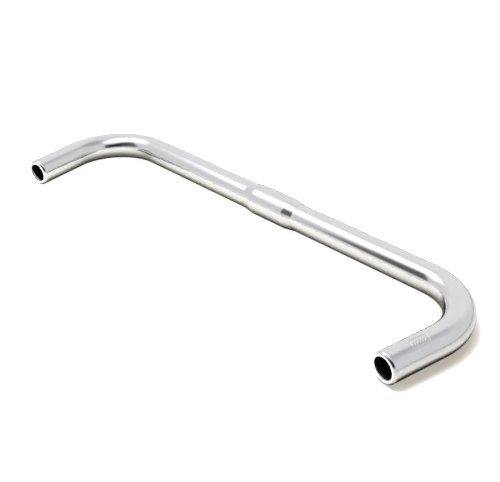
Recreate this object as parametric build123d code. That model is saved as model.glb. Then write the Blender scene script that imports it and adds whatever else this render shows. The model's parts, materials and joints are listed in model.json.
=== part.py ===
"""A flat bullhorn handlebar: one bent aluminium tube with a pressed-on clamp sleeve.

Units are millimetres. The origin is on the tube's axis at the middle of the clamp sleeve.
The horns run forwards, towards -Y. +X is the rider's left and +Z is up. The bar is flat:
its whole centre line lies in the plane Z = 0.
"""

from build123d import *
from math import cos, radians, sin
import os

# Tube
TUBE_DIAMETER = 22.2  # 7/8 inch
TUBE_WALL = 3.0
TOP_HALF_LENGTH = 152.0  # straight part, from the middle to where a bend starts
BEND_RADIUS = 48.0  # to the tube's axis
BEND_ANGLE = 99.2  # a little past square, so the horns turn inwards
HORN_LENGTH = 47.5  # straight part of a horn
RIM_OUTER_ROUNDING = 1.6
RIM_INNER_ROUNDING = 0.3

# Clamp sleeve
CLAMP_DIAMETER = 25.4  # 1 inch
CLAMP_LENGTH = 35.0  # full-diameter part
TAPER_LENGTH = 9.5  # at each end
SLEEVE_LIP = 0.2  # thickness left at the thin ends
TAPER_BLEND_RADIUS = 15.0
LIP_ROUNDING = 0.12

# Plain stamped mark near the tip of the left horn: a frame with slanted bars in it
MARK_FROM_BEND = 20.0  # from the end of the bend to the mark's middle
MARK_TURN = 12.0  # degrees from the top of the horn towards its outer side
MARK_LENGTH = 15.0
MARK_WIDTH = 7.0
MARK_LINE = 0.7
MARK_DEPTH = 0.18
MARK_BAR_COUNT = 5
MARK_BAR_PITCH = 2.2
MARK_BAR_LENGTH = 4.2
MARK_BAR_SLANT = 30.0

TUBE_RADIUS = TUBE_DIAMETER / 2
BORE_RADIUS = TUBE_RADIUS - TUBE_WALL
CLAMP_RADIUS = CLAMP_DIAMETER / 2
SLEEVE_LENGTH = CLAMP_LENGTH + 2 * TAPER_LENGTH

# The left horn: where its straight part starts, and the way it runs
HORN_START = Vector(
    TOP_HALF_LENGTH + BEND_RADIUS * sin(radians(BEND_ANGLE)),
    -BEND_RADIUS * (1 - cos(radians(BEND_ANGLE))),
    0,
)
HORN_WAY = Vector(cos(radians(BEND_ANGLE)), -sin(radians(BEND_ANGLE)), 0)


def tube_section(plane):
    """The tube's ring-shaped cross-section on a plane."""
    return plane * (Circle(TUBE_RADIUS) - Circle(BORE_RADIUS))


def left_bend():
    """The turn from the straight top into the left horn."""
    start = Plane(origin=(TOP_HALF_LENGTH, 0, 0), z_dir=(1, 0, 0))
    pivot = Axis((TOP_HALF_LENGTH, -BEND_RADIUS, 0), (0, 0, -1))
    return revolve(tube_section(start), pivot, BEND_ANGLE)


def left_horn():
    """The left horn's straight tube, up to its square-cut tip."""
    return extrude(tube_section(Plane(origin=HORN_START, z_dir=HORN_WAY)), HORN_LENGTH)


def round_rims(tube):
    """Round the outer and inner edge of each open tip."""
    for side in (1, -1):
        tip = HORN_START + HORN_WAY * HORN_LENGTH
        tip = Vector(side * tip.X, tip.Y, tip.Z)
        for radius, rounding in (
            (TUBE_RADIUS, RIM_OUTER_ROUNDING),
            (BORE_RADIUS, RIM_INNER_ROUNDING),
        ):
            rim = [
                edge
                for edge in tube.edges().filter_by(GeomType.CIRCLE)
                if (edge.arc_center - tip).length < 0.01 and abs(edge.radius - radius) < 0.01
            ]
            tube = fillet(rim, rounding)
    return tube


def stamped_mark():
    """The cutter for the stamped mark, following the round of the horn."""
    middle = HORN_START + HORN_WAY * MARK_FROM_BEND
    outwards = HORN_WAY.cross(Vector(0, 0, -1))
    lean = radians(MARK_TURN)
    face = Plane(
        origin=middle,
        x_dir=HORN_WAY,
        z_dir=Vector(0, 0, 1) * cos(lean) + outwards * sin(lean),
    )
    frame = RectangleRounded(MARK_LENGTH, MARK_WIDTH, MARK_WIDTH / 3)
    frame -= RectangleRounded(
        MARK_LENGTH - 2 * MARK_LINE,
        MARK_WIDTH - 2 * MARK_LINE,
        MARK_WIDTH / 3 - MARK_LINE,
    )
    bars = [
        Pos((index - (MARK_BAR_COUNT - 1) / 2) * MARK_BAR_PITCH, 0)
        * Rot(0, 0, -MARK_BAR_SLANT)
        * SlotOverall(MARK_BAR_LENGTH, MARK_LINE, rotation=90)
        for index in range(MARK_BAR_COUNT)
    ]
    prism = extrude(face * (frame + bars), TUBE_RADIUS + 2)
    lengthwise = Plane(origin=HORN_START, z_dir=HORN_WAY)
    skin = extrude(
        lengthwise * (Circle(TUBE_RADIUS + 1) - Circle(TUBE_RADIUS - MARK_DEPTH)),
        HORN_LENGTH,
    )
    return prism & skin


def bar_tube():
    """The whole bent tube, from one open tip to the other."""
    middle = Plane(origin=(-TOP_HALF_LENGTH, 0, 0), z_dir=(1, 0, 0))
    top = extrude(tube_section(middle), 2 * TOP_HALF_LENGTH)
    left = left_bend() + left_horn()
    tube = top + left + mirror(left, about=Plane.YZ)
    tube = round_rims(tube)
    return tube - stamped_mark()


def clamp_sleeve():
    """The sleeve pressed on the middle of the tube, thinned at both ends."""
    half = SLEEVE_LENGTH / 2
    lip = TUBE_RADIUS + SLEEVE_LIP
    outline = Polyline(
        (-half, TUBE_RADIUS),
        (-half, lip),
        (-CLAMP_LENGTH / 2, CLAMP_RADIUS),
        (CLAMP_LENGTH / 2, CLAMP_RADIUS),
        (half, lip),
        (half, TUBE_RADIUS),
        close=True,
    )
    profile = make_face(outline)
    shoulders = profile.vertices().group_by(Axis.Y)[-1]
    profile = fillet(shoulders, TAPER_BLEND_RADIUS)
    lips = [corner for corner in profile.vertices() if abs(corner.Y - lip) < 0.01]
    profile = fillet(lips, LIP_ROUNDING)
    return revolve(profile, Axis.X)


def main():
    os.makedirs("parts", exist_ok=True)
    pieces = {"bar_tube": bar_tube(), "clamp_sleeve": clamp_sleeve()}
    for name, piece in pieces.items():
        piece.label = name
        export_step(piece, f"parts/{name}.step")
        box = piece.bounding_box()
        print(name, round(piece.volume), "mm3", box.min, box.max)


if __name__ == "__main__":
    main()
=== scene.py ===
import json
from math import acos, asin, atan, cos, pi, radians, sin, tan

import bpy
import numpy as np
from mathutils import Matrix, Vector


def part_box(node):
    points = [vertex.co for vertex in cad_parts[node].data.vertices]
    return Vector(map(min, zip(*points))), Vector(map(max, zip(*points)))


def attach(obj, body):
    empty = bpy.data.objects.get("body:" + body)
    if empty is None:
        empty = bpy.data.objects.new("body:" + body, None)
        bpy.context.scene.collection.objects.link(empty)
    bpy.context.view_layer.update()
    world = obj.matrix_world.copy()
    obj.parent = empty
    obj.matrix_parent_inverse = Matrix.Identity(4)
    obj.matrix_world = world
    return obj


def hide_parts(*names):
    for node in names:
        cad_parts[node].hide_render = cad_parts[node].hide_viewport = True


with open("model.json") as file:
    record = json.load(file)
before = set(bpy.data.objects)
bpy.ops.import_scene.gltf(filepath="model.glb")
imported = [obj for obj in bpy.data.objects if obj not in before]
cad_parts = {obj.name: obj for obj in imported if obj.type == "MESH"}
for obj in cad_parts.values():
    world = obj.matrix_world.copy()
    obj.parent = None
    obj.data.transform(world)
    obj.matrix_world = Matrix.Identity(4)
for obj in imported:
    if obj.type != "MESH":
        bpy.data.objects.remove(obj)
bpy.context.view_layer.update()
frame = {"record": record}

# A polished aluminium bullhorn handlebar: a bent tube with a clamp sleeve pressed on its middle.
# Lengths are metres and angles radians, unless a comment says otherwise. The bar lies flat in
# Z = 0 and its horns run towards -Y.

MM = 0.001
MOUNTS = {mount["name"]: mount for mount in frame["record"]["mounts"]}

# Tube
GRIP = MOUNTS["left_grip"]
BORE = MOUNTS["left_end_bore"]
TUBE_RADIUS = GRIP["dims"]["r_mm"] * MM
BORE_RADIUS = BORE["dims"]["r_mm"] * MM
RIM_OUTER_ROUNDING = 1.6 * MM
RIM_INNER_ROUNDING = 0.3 * MM
FACE_OUTER_RADIUS = TUBE_RADIUS - RIM_OUTER_ROUNDING
FACE_INNER_RADIUS = BORE_RADIUS + RIM_INNER_ROUNDING

# The rim's outer edge is a chamfer between two small roundings, inside the CAD's rounding
CHAMFER_SLOPE = radians(37)
CHAMFER_EDGE_ROUNDING = 1.2 * MM
CHAMFER_FACE_ROUNDING = 0.9 * MM
CHAMFER_DROP = (
    RIM_OUTER_ROUNDING
    - CHAMFER_EDGE_ROUNDING * (1 - cos(CHAMFER_SLOPE))
    - CHAMFER_FACE_ROUNDING * cos(CHAMFER_SLOPE)
)
CHAMFER_REACH = (
    CHAMFER_EDGE_ROUNDING * sin(CHAMFER_SLOPE)
    + CHAMFER_DROP / tan(CHAMFER_SLOPE)
    + CHAMFER_FACE_ROUNDING * (1 - sin(CHAMFER_SLOPE))
)

# Centre line: half of the straight top, a bend and a horn on each side
BEND_ANGLE = acos(BORE["axis"][0])
BEND_RADIUS = 48 * MM
BEND_LENGTH = BEND_RADIUS * BEND_ANGLE
HORN_LENGTH = BORE["dims"]["length_mm"] * MM + RIM_INNER_ROUNDING
TOP_HALF_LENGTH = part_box("bar_tube")[1].x - TUBE_RADIUS - BEND_RADIUS
HALF_LENGTH = TOP_HALF_LENGTH + BEND_LENGTH + HORN_LENGTH

# Clamp sleeve
CLAMP_RADIUS = MOUNTS["stem_clamp"]["dims"]["r_mm"] * MM
SLEEVE_HALF_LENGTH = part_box("clamp_sleeve")[1].x
TAPER_LENGTH = 9.5 * MM
SLEEVE_LIP = 0.2 * MM
TAPER_BLEND_RADIUS = 15 * MM
LIP_ROUNDING = 0.12 * MM

# Stamped mark on top of the left horn: a frame with slanted bars in it
MARK_FROM_BEND = 20 * MM
MARK_TURN = radians(12)
MARK_LENGTH = 15 * MM
MARK_WIDTH = 7 * MM
MARK_CORNER = MARK_WIDTH / 3
MARK_LINE = 0.7 * MM
MARK_DEPTH = 0.18 * MM
MARK_BAR_COUNT = 5
MARK_BAR_PITCH = 2.2 * MM
MARK_BAR_LENGTH = 4.2 * MM
MARK_BAR_SLANT = radians(30)
MARK_WALL = 0.2 * MM
MARK_WALL_OUTSIDE = 0.05 * MM

# Mesh steps. The two triples are for the straight top, the bends and the horns.
OUTER_STEPS = (3 * MM, 1.3 * MM, 1.2 * MM)
BORE_STEPS = (8 * MM, 3.2 * MM, 2 * MM)
TUBE_TURN_STEP = radians(3.2)
FACE_STEP = 0.25 * MM
CHAMFER_PARTS = 4
ROUNDING_PARTS = 6
MOUTH_PARTS = 5
MARK_STEP = 0.14 * MM
MARK_MARGIN = 0.4 * MM
MARK_STEP_GAP = 0.3 * MM
SLEEVE_STEP = 1.5 * MM
SLEEVE_INSIDE_STEP = 3 * MM
SLEEVE_TURN_STEP = radians(2.5)
BLEND_PARTS = 8
CONE_PARTS = 10
SAME_RADIUS = 0.01 * MM

# Camera
CAMERA_AZIMUTH = radians(46.15)
CAMERA_ELEVATION = radians(30.53)
CAMERA_ROLL = radians(-0.695)
CAMERA_DISTANCE = 0.6607
CAMERA_AIM = Vector((0.0253, -0.0527, 0))
CAMERA_LENS = 62.69  # millimetres
CAMERA_NEAR = 0.01


# ---------------------------------------------------------------- shapes


def centre_line(distance):
    """The point on the tube's axis and the way it runs, at a distance from the bar's middle.

    The distance follows the axis, and is negative on the -X half."""
    side = 1 if distance >= 0 else -1
    along = abs(distance)
    turned = min(max((along - TOP_HALF_LENGTH) / BEND_RADIUS, 0), BEND_ANGLE)
    point = Vector((min(along, TOP_HALF_LENGTH), 0, 0))
    point += BEND_RADIUS * Vector((sin(turned), cos(turned) - 1, 0))
    way = Vector((cos(turned), -sin(turned), 0))
    point += way * max(along - TOP_HALF_LENGTH - BEND_LENGTH, 0)
    return Vector((side * point.x, point.y, 0)), Vector((way.x, side * way.y, 0))


def evenly(start, end, largest_step):
    """Even steps from start up to, but not including, end."""
    count = max(1, int(np.ceil(abs(end - start) / largest_step)))
    return [start + (end - start) * index / count for index in range(count)]


def stations(steps, reach):
    """Distances along the centre line for rings of points, out to reach at both ends."""
    straight_step, bend_step, horn_step = steps
    bend_end = TOP_HALF_LENGTH + BEND_LENGTH
    half = evenly(0, TOP_HALF_LENGTH, straight_step)
    half += evenly(TOP_HALF_LENGTH, bend_end, bend_step)
    half += evenly(bend_end, reach, horn_step) + [reach]
    return [-distance for distance in reversed(half[1:])] + half


def outer_stations():
    """The outer surface's rings, close together where the mark is stamped."""
    reach = HALF_LENGTH - CHAMFER_REACH
    middle = TOP_HALF_LENGTH + BEND_LENGTH + MARK_FROM_BEND
    low = middle - MARK_LENGTH / 2 - MARK_MARGIN
    high = middle + MARK_LENGTH / 2 + MARK_MARGIN
    coarse = stations(OUTER_STEPS, reach)
    kept = [place for place in coarse if not low - MARK_STEP_GAP < place < high + MARK_STEP_GAP]
    return sorted(kept + evenly(low, high, MARK_STEP) + [high])


def ring_angles():
    """Angles round the tube from its outer side over the top, close together at the mark."""
    middle = pi / 2 - MARK_TURN
    reach = asin((MARK_WIDTH / 2 + MARK_MARGIN) / TUBE_RADIUS)
    fine = evenly(middle - reach, middle + reach, MARK_STEP / TUBE_RADIUS)
    coarse = evenly(middle + reach, middle - reach + 2 * pi, TUBE_TURN_STEP)
    return np.array(fine + coarse)


def rounded_frame(x, y):
    """Distance in the mark's plane from the edge of its rounded frame line."""
    corner = MARK_CORNER - MARK_LINE / 2
    over_x = np.abs(x) - (MARK_LENGTH - MARK_LINE) / 2 + corner
    over_y = np.abs(y) - (MARK_WIDTH - MARK_LINE) / 2 + corner
    outside = np.hypot(np.maximum(over_x, 0), np.maximum(over_y, 0))
    inside = np.minimum(np.maximum(over_x, over_y), 0)
    return np.abs(outside + inside - corner) - MARK_LINE / 2


def slanted_bar(x, y, middle):
    """Distance in the mark's plane from the edge of one slanted bar."""
    half = (MARK_BAR_LENGTH - MARK_LINE) / 2
    along = (x - middle) * sin(MARK_BAR_SLANT) + y * cos(MARK_BAR_SLANT)
    across = (x - middle) * cos(MARK_BAR_SLANT) - y * sin(MARK_BAR_SLANT)
    return np.hypot(across, along - np.clip(along, -half, half)) - MARK_LINE / 2


def mark_depth(distance, angles):
    """How deep the mark is pressed in, round one ring of the tube."""
    x = distance - (TOP_HALF_LENGTH + BEND_LENGTH + MARK_FROM_BEND)
    turn = pi / 2 - MARK_TURN - angles
    y = np.where(np.cos(turn) > 0, TUBE_RADIUS * np.sin(turn), MARK_WIDTH)
    edge = rounded_frame(x, y)
    for index in range(MARK_BAR_COUNT):
        middle = (index - (MARK_BAR_COUNT - 1) / 2) * MARK_BAR_PITCH
        edge = np.minimum(edge, slanted_bar(x, y, middle))
    wall = np.clip((MARK_WALL_OUTSIDE - edge) / MARK_WALL, 0, 1)
    return MARK_DEPTH * wall * wall * (3 - 2 * wall)


def arc(middle, radius, start, end, parts):
    """(distance, radius) points on an arc whose turn is 0 outwards and 90 degrees endwards."""
    turns = evenly(start, end, abs(end - start) / parts) + [end]
    return [(middle[0] + radius * sin(turn), middle[1] + radius * cos(turn)) for turn in turns]


def between(first, last, parts):
    """The points that divide a straight line into equal parts, without its two ends."""
    whole = np.array(last) - np.array(first)
    return [tuple(np.array(first) + whole * index / parts) for index in range(1, parts)]


def rim_profile(end):
    """(distance, radius) points over one tip, from the outer surface to the bore's mouth."""
    edge_middle = (end - CHAMFER_REACH, TUBE_RADIUS - CHAMFER_EDGE_ROUNDING)
    face_middle = (end - CHAMFER_FACE_ROUNDING, FACE_OUTER_RADIUS)
    mouth_middle = (end - RIM_INNER_ROUNDING, FACE_INNER_RADIUS)
    edge = arc(edge_middle, CHAMFER_EDGE_ROUNDING, 0, CHAMFER_SLOPE, ROUNDING_PARTS)
    face = arc(face_middle, CHAMFER_FACE_ROUNDING, CHAMFER_SLOPE, pi / 2, ROUNDING_PARTS)
    chamfer = between(edge[-1], face[0], CHAMFER_PARTS)
    flat = [(end, radius) for radius in evenly(FACE_OUTER_RADIUS, FACE_INNER_RADIUS, FACE_STEP)]
    mouth = arc(mouth_middle, RIM_INNER_ROUNDING, pi / 2, pi, MOUTH_PARTS)
    return edge[1:] + chamfer + face + flat[1:] + mouth


def loft(name, profile, angles, press=None):
    """A closed mesh through (distance, radius) rings that follow the centre line.

    press says how deep a mark goes into the outer surface. The "unbent" attribute holds each
    point's place on the tube as if it were straight, and "pressed" its share of the mark's depth."""
    rings = len(profile)
    count = len(angles)
    points = np.zeros((rings, count, 3))
    unbent = np.zeros((rings, count, 3))
    pressed = np.zeros((rings, count))
    for index, (distance, radius) in enumerate(profile):
        centre, way = centre_line(distance)
        outwards = np.array(way.cross(Vector((0, 0, -1))))
        if press is not None and radius == TUBE_RADIUS:
            pressed[index] = press(distance, angles)
        radii = radius - pressed[index]
        spokes = np.outer(np.cos(angles), outwards) + np.outer(np.sin(angles), (0, 0, 1))
        points[index] = np.array(centre) + spokes * radii[:, None]
        unbent[index, :, 0] = distance
        unbent[index, :, 1] = np.cos(angles) * radius
        unbent[index, :, 2] = np.sin(angles) * radius
    here = np.arange(rings)[:, None] * count + np.arange(count)[None, :]
    on = np.roll(here, -1, axis=0)
    beside = np.roll(here, -1, axis=1)
    across = np.roll(on, -1, axis=1)
    faces = np.stack([here, beside, across, on], axis=-1).reshape(-1, 4)
    mesh = bpy.data.meshes.new(name)
    mesh.from_pydata(points.reshape(-1, 3).tolist(), [], faces.tolist())
    attribute = mesh.attributes.new("unbent", "FLOAT_VECTOR", "POINT")
    attribute.data.foreach_set("vector", unbent.astype(np.float32).ravel())
    depth = mesh.attributes.new("pressed", "FLOAT", "POINT")
    depth.data.foreach_set("value", (pressed / MARK_DEPTH).astype(np.float32).ravel())
    mesh.shade_smooth()
    mesh.update()
    piece = bpy.data.objects.new(name, mesh)
    bpy.context.scene.collection.objects.link(piece)
    return piece


def zone(ring, following):
    """Which material two neighbouring rings span: 0 outer surface, 1 faced end, 2 bore."""
    largest = max(ring[1], following[1]) - SAME_RADIUS
    if largest < BORE_RADIUS:
        return 2
    return 1 if largest < FACE_OUTER_RADIUS else 0


def bar_tube(materials):
    """The bent tube: outer surface, both chamfered rims and the bore."""
    angles = ring_angles()
    outer = [(distance, TUBE_RADIUS) for distance in outer_stations()]
    left_rim = rim_profile(HALF_LENGTH)
    right_rim = [(-distance, radius) for distance, radius in reversed(left_rim)]
    bore = stations(BORE_STEPS, HALF_LENGTH - RIM_INNER_ROUNDING)[1:-1]
    inner = [(distance, BORE_RADIUS) for distance in reversed(bore)]
    profile = outer + left_rim + inner + right_rim
    piece = loft("bar_tube_polished", profile, angles, press=mark_depth)
    for material in materials:
        piece.data.materials.append(material)
    zones = [zone(ring, following) for ring, following in zip(profile, profile[1:] + profile[:1])]
    numbers = np.repeat(np.array(zones, np.int32), len(angles))
    piece.data.polygons.foreach_set("material_index", numbers)
    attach(piece, "root")
    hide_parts("bar_tube")
    return piece


def sleeve_profile():
    """(distance, radius) round the sleeve's section: over the outside, back along the inside."""
    lip_radius = TUBE_RADIUS + SLEEVE_LIP
    slope = atan((CLAMP_RADIUS - lip_radius) / TAPER_LENGTH)
    blend_start = SLEEVE_HALF_LENGTH - TAPER_LENGTH - TAPER_BLEND_RADIUS * tan(slope / 2)
    blend_middle = (blend_start, CLAMP_RADIUS - TAPER_BLEND_RADIUS)
    lip_tangent = LIP_ROUNDING * tan((pi / 2 - slope) / 2)
    lip_middle = (SLEEVE_HALF_LENGTH - LIP_ROUNDING, lip_radius - lip_tangent)
    level = [(distance, CLAMP_RADIUS) for distance in evenly(0, blend_start, SLEEVE_STEP)]
    blend = arc(blend_middle, TAPER_BLEND_RADIUS, 0, slope, BLEND_PARTS)
    lip = arc(lip_middle, LIP_ROUNDING, slope, pi / 2, ROUNDING_PARTS)
    half = level + blend + between(blend[-1], lip[0], CONE_PARTS) + lip
    outside = [(-distance, radius) for distance, radius in reversed(half[1:])] + half
    back = evenly(SLEEVE_HALF_LENGTH, -SLEEVE_HALF_LENGTH, SLEEVE_INSIDE_STEP)
    inside = [(distance, TUBE_RADIUS) for distance in back + [-SLEEVE_HALF_LENGTH]]
    return outside + inside


def clamp_sleeve(material):
    """The sleeve pressed on the middle of the tube."""
    angles = np.array(evenly(0, 2 * pi, SLEEVE_TURN_STEP))
    piece = loft("clamp_sleeve_polished", sleeve_profile(), angles)
    piece.data.materials.append(material)
    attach(piece, "root")
    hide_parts("clamp_sleeve")


# ---------------------------------------------------------------- materials

# Patterns in the metal, in repeats per metre along the bar, across it and upwards
CLOUDS = (60, 90, 90)
WAVES = (45, 70, 70)
STREAK_SHARE = 0.35
NOISE_RANGE = (0.3, 0.7)
PRESSED_COLOUR = (0.80, 0.80, 0.81, 1)
PRESSED_ROUGHER = 0.3


class Graph:
    """A node tree with short ways to add and join nodes."""

    def __init__(self, tree):
        self.tree = tree
        tree.nodes.clear()

    def node(self, kind, inputs=None, **settings):
        made = self.tree.nodes.new(kind)
        for name, value in settings.items():
            setattr(made, name, value)
        for name, value in (inputs or {}).items():
            self.put(made.inputs[name], value)
        return made

    def put(self, socket, value):
        if isinstance(value, bpy.types.NodeSocket):
            self.tree.links.new(value, socket)
        else:
            socket.default_value = value

    def math(self, operation, *values):
        made = self.tree.nodes.new("ShaderNodeMath")
        made.operation = operation
        for socket, value in zip(made.inputs, values):
            self.put(socket, value)
        return made.outputs[0]

    def smooth(self, value, start, end, low=0.0, high=1.0):
        """low below start, high above end, and a smooth step between."""
        inputs = {"Value": value, "From Min": start, "From Max": end, "To Min": low, "To Max": high}
        made = self.node("ShaderNodeMapRange", inputs, interpolation_type="SMOOTHSTEP")
        return made.outputs["Result"]

    def noise(self, vector, stretch, detail=2.0, roughness=0.5):
        """Noise on a vector stretched by a factor for each axis."""
        scaled = self.node("ShaderNodeVectorMath", operation="MULTIPLY")
        self.put(scaled.inputs[0], vector)
        scaled.inputs[1].default_value = stretch
        inputs = {"Vector": scaled.outputs[0], "Scale": 1.0, "Detail": detail, "Roughness": roughness}
        return self.node("ShaderNodeTexNoise", inputs).outputs["Fac"]

    def mix(self, factor, first, second):
        made = self.node("ShaderNodeMix", data_type="RGBA")
        self.put(made.inputs[0], factor)
        self.put(made.inputs[6], first)
        self.put(made.inputs[7], second)
        return made.outputs[2]


def new_material(name):
    material = bpy.data.materials.new(name)
    material.use_nodes = True
    return material, Graph(material.node_tree)


def metal(name, light, shade, roughness, spread, lines, line_depth, wave_depth, metallic=1.0):
    """Aluminium with fine lines left by polishing, faint clouds and a slight waviness.

    lines is how often the fine lines repeat per metre along the bar, across it and upwards.
    The pressed mark is paler and rougher."""
    material, graph = new_material(name)
    place = graph.node("ShaderNodeAttribute", attribute_name="unbent").outputs["Vector"]
    streaks = graph.noise(place, lines, detail=3.0, roughness=0.6)
    clouds = graph.noise(place, CLOUDS, detail=2.0)
    waves = graph.noise(place, WAVES, detail=0.0)
    cloud_part = graph.math("MULTIPLY", clouds, 1 - STREAK_SHARE)
    tone = graph.math("MULTIPLY_ADD", streaks, STREAK_SHARE, cloud_part)
    colour = graph.mix(graph.smooth(tone, *NOISE_RANGE), (*light, 1), (*shade, 1))
    rough = graph.smooth(tone, *NOISE_RANGE, roughness - spread, roughness + spread)
    pressed = graph.node("ShaderNodeAttribute", attribute_name="pressed").outputs["Fac"]
    colour = graph.mix(pressed, colour, PRESSED_COLOUR)
    rough = graph.math("MULTIPLY_ADD", pressed, PRESSED_ROUGHER, rough)
    wavy = graph.node("ShaderNodeBump", {"Height": waves, "Strength": 1.0, "Distance": wave_depth})
    lined = graph.node(
        "ShaderNodeBump",
        {"Height": streaks, "Strength": 1.0, "Distance": line_depth, "Normal": wavy.outputs[0]},
    )
    shader = graph.node(
        "ShaderNodeBsdfPrincipled",
        {"Base Color": colour, "Metallic": metallic, "Roughness": rough, "Normal": lined.outputs[0]},
    )
    graph.node("ShaderNodeOutputMaterial", {"Surface": shader.outputs[0]})
    return material


def bore_material():
    """The drawn tube's inside: dull and lightly streaked along its length, with a near-black colour as
    painted shade for the dark deep in the bore.
    """
    material, graph = new_material("dull_bore_painted_shade")
    place = graph.node("ShaderNodeAttribute", attribute_name="unbent").outputs["Vector"]
    streaks = graph.noise(place, (40, 1200, 1200), detail=3.0)
    shade = graph.smooth(streaks, *NOISE_RANGE)
    # Painted shade: these near-black colours stand in for the shade inside the bore
    colour = graph.mix(shade, (0.016, 0.016, 0.015, 1), (0.009, 0.009, 0.009, 1))
    rough = graph.smooth(streaks, *NOISE_RANGE, 0.75, 0.9)
    drawn = graph.node("ShaderNodeBump", {"Height": streaks, "Strength": 1.0, "Distance": 8e-6})
    shader = graph.node(
        "ShaderNodeBsdfPrincipled",
        {"Base Color": colour, "Roughness": rough, "IOR": 1.2, "Normal": drawn.outputs[0]},
    )
    graph.node("ShaderNodeOutputMaterial", {"Surface": shader.outputs[0]})
    return material


def tube_materials():
    """The tube's materials in the order of its zones: outer surface, faced ends, bore."""
    polished = metal(
        "polished_aluminium",
        light=(0.915, 0.918, 0.925),
        shade=(0.885, 0.888, 0.897),
        roughness=0.15,
        spread=0.035,
        lines=(25, 1600, 1600),
        line_depth=1.8e-6,
        wave_depth=14e-6,
    )
    faced = metal(
        "faced_aluminium",
        light=(0.95, 0.95, 0.95),
        shade=(0.91, 0.91, 0.912),
        roughness=0.34,
        spread=0.05,
        lines=(2500, 2500, 2500),
        line_depth=3e-6,
        wave_depth=2e-6,
        metallic=0.85,
    )
    return [polished, faced, bore_material()]


def sleeve_material():
    """Aluminium polished on a lathe: its fine lines run round the sleeve."""
    return metal(
        "satin_aluminium",
        light=(0.91, 0.912, 0.915),
        shade=(0.87, 0.873, 0.88),
        roughness=0.13,
        spread=0.04,
        lines=(2200, 60, 60),
        line_depth=1.5e-6,
        wave_depth=16e-6,
    )


# ---------------------------------------------------------------- stage

# The surroundings: what the metal mirrors, and the white backdrop that the camera sees
TENT_WALL = (0.66, 0.66, 0.67)
BACKDROP = (1.0, 1.0, 1.0)

# Soft panels on the tent's walls: (azimuth, half width, elevation, half height, softness,
# colour), in degrees. Azimuth 0 is -Y and 90 is +X.
TENT_PANELS = {
    "left_wall": (-140, 40, 25, 32, 14, (0.78, 0.78, 0.78)),
    "back_roof": (132, 52, 64, 14, 12, (0.40, 0.40, 0.42)),
    "front_roof": (-10, 90, 74, 24, 6, (1.08, 1.08, 1.09)),
    "skirt": (-10, 62, 1, 5, 4, (0.85, 0.85, 0.85)),
}

# The roof light is a level pale cloth that only the metal mirrors. Its edges are the
# (start, end) of a soft step. A lamp under it, unseen in the metal, lights the floor.
ROOF_LIGHT_HEIGHT = 0.56
ROOF_LIGHT_LEFT = (-0.70, -0.54)
ROOF_LIGHT_RIGHT = (0.10, 0.28)
ROOF_LIGHT_FRONT = (-0.44, -0.30)
ROOF_LIGHT_BACK = (-0.08, 0.04)
ROOF_LIGHT_TONE = (1.25, 1.255, 1.27)
ROOF_LAMP_PLACE = Vector((-0.03, -0.16, 0.54))
ROOF_LAMP_WIDTH = 0.34
ROOF_LAMP_DEPTH = 0.22
ROOF_LAMP_POWER = 9.2

# A second, dimmer cloth beside the roof light, above the tent's left front
GLOW_HEIGHT = ROOF_LIGHT_HEIGHT + 0.01
GLOW_LEFT = (-0.86, -0.58)
GLOW_RIGHT = (-0.36, -0.24)
GLOW_FRONT = (-0.66, -0.46)
GLOW_BACK = (-0.06, 0.08)
GLOW_TONE = (0.98, 0.98, 0.99)

# A small lamp that shines on the tube alone and into the horns' open ends
MOUTH_LAMP_AZIMUTH = radians(60)
MOUTH_LAMP_ELEVATION = radians(64)
MOUTH_LAMP_DISTANCE = 0.9
MOUTH_LAMP_SIZE = 0.05
MOUTH_LAMP_POWER = 300.0

# The dark opening in front, where the photographer stands: a straight front, a round
# corner and a short side. Its edges are the (start, end) of a soft step. It is dim on its
# left and nearly black round the lens, on its right.
OPENING_FRONT = -0.45
OPENING_SIDE = 0.52
OPENING_CORNER = 0.16
OPENING_LEFT = (-0.32, -0.20)
OPENING_BACK = (-0.28, -0.14)
OPENING_LOW = (0.03, 0.19)
OPENING_HIGH = (0.38, 0.82)
OPENING_CORNER_PARTS = 12
OPENING_LENS = (-0.20, 0.28)
OPENING_DIM = (0.10, 0.09, 0.075, 1)
OPENING_DARK = (0.006, 0.006, 0.008, 1)

# The paper floor. The metal mirrors it with painted shade close to the bar: a dark colour
# mixed in where the floor is little open to the room above. The camera sees it bleached by a
# glow of its own. Near the bar on the right the glow is turned down and tinted beige, a painted
# shade that makes the lamp's shadow show there. The pairs are the (start, end) of a soft step:
# the two OPEN pairs in how open the floor is to the room above, from 0 to 1, and the SIDE pair
# along X.
FLOOR_HALF = 3.0
FLOOR_CLEARANCE = 0.02 * MM
PAPER_FIBRES = (300, 300, 300)
PAPER_DARK = (0.32, 0.315, 0.30, 1)
PAPER_LIGHT = (0.335, 0.329, 0.314, 1)
CONTACT_DISTANCE = 42 * MM
PAINTED_CONTACT_SHADE_OPEN = (0.46, 0.86)
PAINTED_CONTACT_SHADE = (0.06, 0.057, 0.048, 1)
BLEACH = (0.97, 0.96, 0.94, 1)
PAINTED_SHADE_BLEACH = (0.38, 0.355, 0.295, 1)
PAINTED_SHADE_BLEACH_OPEN = (0.5, 0.85)
PAINTED_SHADE_BLEACH_SIDE = (0.15, 0.21)


def direction(azimuth, elevation):
    """The way towards an azimuth, 0 at -Y and 90 degrees at +X, and an elevation."""
    level = cos(elevation)
    return Vector((sin(azimuth) * level, -cos(azimuth) * level, sin(elevation)))


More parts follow.
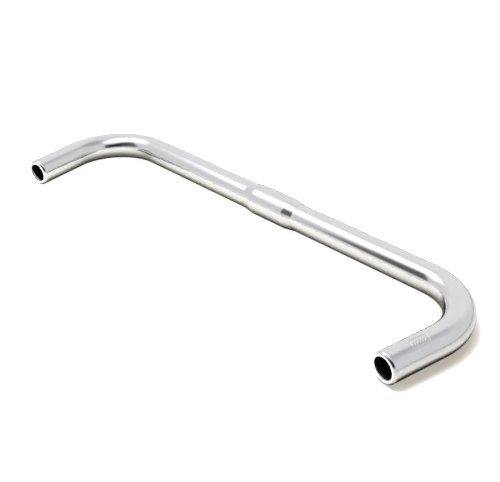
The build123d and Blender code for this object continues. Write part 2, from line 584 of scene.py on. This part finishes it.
def tent():
    """The world: pale cloth walls with soft panels, and a white backdrop for the camera."""
    world = bpy.data.worlds.new("tent")
    world.use_nodes = True
    bpy.context.scene.world = world
    graph = Graph(world.node_tree)
    way = graph.node("ShaderNodeTexCoord").outputs["Generated"]
    split = graph.node("ShaderNodeSeparateXYZ", {"Vector": way}).outputs
    backwards = graph.math("MULTIPLY", split[1], -1.0)
    azimuth = graph.math("DEGREES", graph.math("ARCTAN2", split[0], backwards))
    elevation = graph.math("DEGREES", graph.math("ARCSINE", split[2]))
    colour = (*TENT_WALL, 1)
    for middle, half_width, height, half_height, soft, tone in TENT_PANELS.values():
        aside = graph.math("WRAP", graph.math("SUBTRACT", azimuth, float(middle)), 180.0, -180.0)
        aside = graph.math("ABSOLUTE", aside)
        above = graph.math("ABSOLUTE", graph.math("SUBTRACT", elevation, float(height)))
        across = graph.smooth(aside, half_width - soft, half_width + soft, 1.0, 0.0)
        upright = graph.smooth(above, half_height - soft, half_height + soft, 1.0, 0.0)
        colour = graph.mix(graph.math("MULTIPLY", across, upright), colour, (*tone, 1))
    straight = graph.node("ShaderNodeLightPath").outputs["Is Camera Ray"]
    colour = graph.mix(straight, colour, (*BACKDROP, 1))
    background = graph.node("ShaderNodeBackground", {"Color": colour, "Strength": 1.0})
    graph.node("ShaderNodeOutputWorld", {"Surface": background.outputs[0]})


def hidden_card(name, points, faces, edges, tone):
    """A glowing card that the camera looks through, with soft edges.

    edges lists (axis, start, end): the card appears from start to end along that axis.
    tone(graph, place) gives its colour."""
    mesh = bpy.data.meshes.new(name)
    mesh.from_pydata(points, [], faces)
    card = bpy.data.objects.new(name, mesh)
    bpy.context.scene.collection.objects.link(card)
    card.visible_camera = False
    material, graph = new_material(name)
    place = graph.node("ShaderNodeTexCoord").outputs["Object"]
    split = graph.node("ShaderNodeSeparateXYZ", {"Vector": place}).outputs
    cover = 1.0
    for axis, start, end in edges:
        rising = (start, end, 0.0, 1.0) if start < end else (end, start, 1.0, 0.0)
        cover = graph.math("MULTIPLY", cover, graph.smooth(split[axis], *rising))
    glow = graph.node("ShaderNodeEmission", {"Color": tone(graph, split), "Strength": 1.0})
    clear = graph.node("ShaderNodeBsdfTransparent")
    both = graph.node("ShaderNodeMixShader", {0: cover, 1: clear.outputs[0], 2: glow.outputs[0]})
    graph.node("ShaderNodeOutputMaterial", {"Surface": both.outputs[0]})
    mesh.materials.append(material)
    return card


def soft_lamp(name, power, width, depth):
    """A rectangular lamp that lights dull surfaces only, and that the camera doesn't see."""
    data = bpy.data.lights.new(name, "AREA")
    data.energy = power
    data.shape = "RECTANGLE"
    data.size = width
    data.size_y = depth
    lamp = bpy.data.objects.new(name, data)
    lamp.visible_glossy = False
    lamp.visible_camera = False
    bpy.context.scene.collection.objects.link(lamp)
    return lamp


def level_cloth(name, height, left, right, front, back, tone):
    """A level card whose four edges are (start, end) of a soft step."""
    corners = [(left[0], front[0]), (right[1], front[0]), (right[1], back[1]), (left[0], back[1])]
    points = [(x, y, height) for x, y in corners]
    edges = [("X", *left), ("X", *reversed(right)), ("Y", *front), ("Y", *reversed(back))]
    cloth = hidden_card(name, points, [(0, 1, 2, 3)], edges, lambda graph, place: (*tone, 1))
    cloth.visible_diffuse = False
    cloth.visible_shadow = False


def roof_light():
    """Two cloths over the bar, and the lamp that lights the floor."""
    edges = (ROOF_LIGHT_LEFT, ROOF_LIGHT_RIGHT, ROOF_LIGHT_FRONT, ROOF_LIGHT_BACK)
    level_cloth("roof_light", ROOF_LIGHT_HEIGHT, *edges, ROOF_LIGHT_TONE)
    edges = (GLOW_LEFT, GLOW_RIGHT, GLOW_FRONT, GLOW_BACK)
    level_cloth("roof_glow", GLOW_HEIGHT, *edges, GLOW_TONE)
    lamp = soft_lamp("roof_lamp", ROOF_LAMP_POWER, ROOF_LAMP_WIDTH, ROOF_LAMP_DEPTH)
    lamp.location = ROOF_LAMP_PLACE


def mouth_lamp(receiver):
    """Shines on the receiver alone, from where it reaches into the horns' open ends."""
    way = direction(MOUTH_LAMP_AZIMUTH, MOUTH_LAMP_ELEVATION)
    lamp = soft_lamp("mouth_lamp", MOUTH_LAMP_POWER, MOUTH_LAMP_SIZE, MOUTH_LAMP_SIZE)
    lamp.location = way * MOUTH_LAMP_DISTANCE
    lamp.rotation_euler = way.to_track_quat("Z", "Y").to_euler()
    lit = bpy.data.collections.new("lit_by_mouth_lamp")
    lit.objects.link(receiver)
    lamp.light_linking.receiver_collection = lit


def opening_tone(graph, place):
    """The opening's colour at a place: dim, and nearly black round the lens."""
    return graph.mix(graph.smooth(place["X"], *OPENING_LENS), OPENING_DIM, OPENING_DARK)


def opening():
    """An upright dark card round the front, bent round its right corner."""
    middle = Vector((OPENING_SIDE - OPENING_CORNER, OPENING_FRONT + OPENING_CORNER, 0))
    feet = [Vector((OPENING_LEFT[0], OPENING_FRONT, 0))]
    for turn in evenly(0, pi / 2, pi / 2 / OPENING_CORNER_PARTS) + [pi / 2]:
        feet.append(middle + OPENING_CORNER * Vector((sin(turn), -cos(turn), 0)))
    feet.append(Vector((OPENING_SIDE, OPENING_BACK[1], 0)))
    heights = (OPENING_LOW[0], OPENING_HIGH[1])
    points = [foot + Vector((0, 0, height)) for foot in feet for height in heights]
    lefts = range(0, len(points) - 2, 2)
    faces = [(left, left + 2, left + 3, left + 1) for left in lefts]
    edges = [
        ("X", *OPENING_LEFT),
        ("Y", *reversed(OPENING_BACK)),
        ("Z", *OPENING_LOW),
        ("Z", *reversed(OPENING_HIGH)),
    ]
    hidden_card("tent_opening", points, faces, edges, opening_tone)


def floor():
    """A pale paper floor, rising a little between the sleeve and the tips that rest on it."""
    sleeve_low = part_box("clamp_sleeve")[0].z - FLOOR_CLEARANCE
    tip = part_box("bar_tube")[0]
    tip_low = tip.z - FLOOR_CLEARANCE
    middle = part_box("clamp_sleeve")[0].y
    front = [(-FLOOR_HALF, tip_low), (tip.y, tip_low)]
    rear = [(middle, sleeve_low), (FLOOR_HALF, sleeve_low)]
    corners = [(x, y, height) for y, height in front + rear for x in (-FLOOR_HALF, FLOOR_HALF)]
    strips = [(first, first + 1, first + 3, first + 2) for first in (0, 2, 4)]
    mesh = bpy.data.meshes.new("paper_floor")
    mesh.from_pydata(corners, [], strips)
    sheet = bpy.data.objects.new("paper_floor", mesh)
    bpy.context.scene.collection.objects.link(sheet)
    material, graph = new_material("warm_white_paper")
    place = graph.node("ShaderNodeTexCoord").outputs["Object"]
    fibres = graph.noise(place, PAPER_FIBRES, detail=3.0)
    lit = graph.mix(fibres, PAPER_DARK, PAPER_LIGHT)
    # Painted shade: close to the bar, where the floor is little open to the room above, its colour
    # turns dark for the rays the metal mirrors
    room = graph.node("ShaderNodeAmbientOcclusion", {"Distance": CONTACT_DISTANCE}, samples=8)
    openness = room.outputs["AO"]
    painted_contact_shade = graph.mix(graph.smooth(openness, *PAINTED_CONTACT_SHADE_OPEN), PAINTED_CONTACT_SHADE, lit)
    mirrored = graph.node("ShaderNodeBsdfDiffuse", {"Color": painted_contact_shade})
    plain = graph.node("ShaderNodeBsdfDiffuse", {"Color": lit})
    rightwards = graph.node("ShaderNodeSeparateXYZ", {"Vector": place}).outputs["X"]
    # Painted shade: near the bar on the right, the camera's glow is turned down and tinted beige so
    # that a shadow shows there
    shade = graph.mix(graph.smooth(openness, *PAINTED_SHADE_BLEACH_OPEN), PAINTED_SHADE_BLEACH, BLEACH)
    bleach = graph.mix(graph.smooth(rightwards, *PAINTED_SHADE_BLEACH_SIDE), BLEACH, shade)
    bleached = graph.node("ShaderNodeEmission", {"Color": bleach, "Strength": 1.0})
    seen = graph.node("ShaderNodeAddShader", {0: plain.outputs[0], 1: bleached.outputs[0]})
    straight = graph.node("ShaderNodeLightPath").outputs["Is Camera Ray"]
    both = graph.node("ShaderNodeMixShader", {0: straight, 1: mirrored.outputs[0], 2: seen.outputs[0]})
    graph.node("ShaderNodeOutputMaterial", {"Surface": both.outputs[0]})
    mesh.materials.append(material)


def camera():
    """The camera at the photograph's viewing angle."""
    back = direction(CAMERA_AZIMUTH, CAMERA_ELEVATION)
    right = Vector((cos(CAMERA_AZIMUTH), sin(CAMERA_AZIMUTH), 0))
    turn = Matrix((right, back.cross(right), back)).transposed()
    turn = turn @ Matrix.Rotation(CAMERA_ROLL, 3, "Z")
    data = bpy.data.cameras.new("camera")
    data.lens = CAMERA_LENS
    data.clip_start = CAMERA_NEAR
    seen_from = bpy.data.objects.new("camera", data)
    place = Matrix.Translation(CAMERA_AIM + back * CAMERA_DISTANCE)
    seen_from.matrix_world = place @ turn.to_4x4()
    bpy.context.scene.collection.objects.link(seen_from)
    bpy.context.scene.camera = seen_from


bpy.context.scene.view_settings.view_transform = "Standard"
camera()
tent()
roof_light()
opening()
floor()
mouth_lamp(bar_tube(tube_materials()))
clamp_sleeve(sleeve_material())
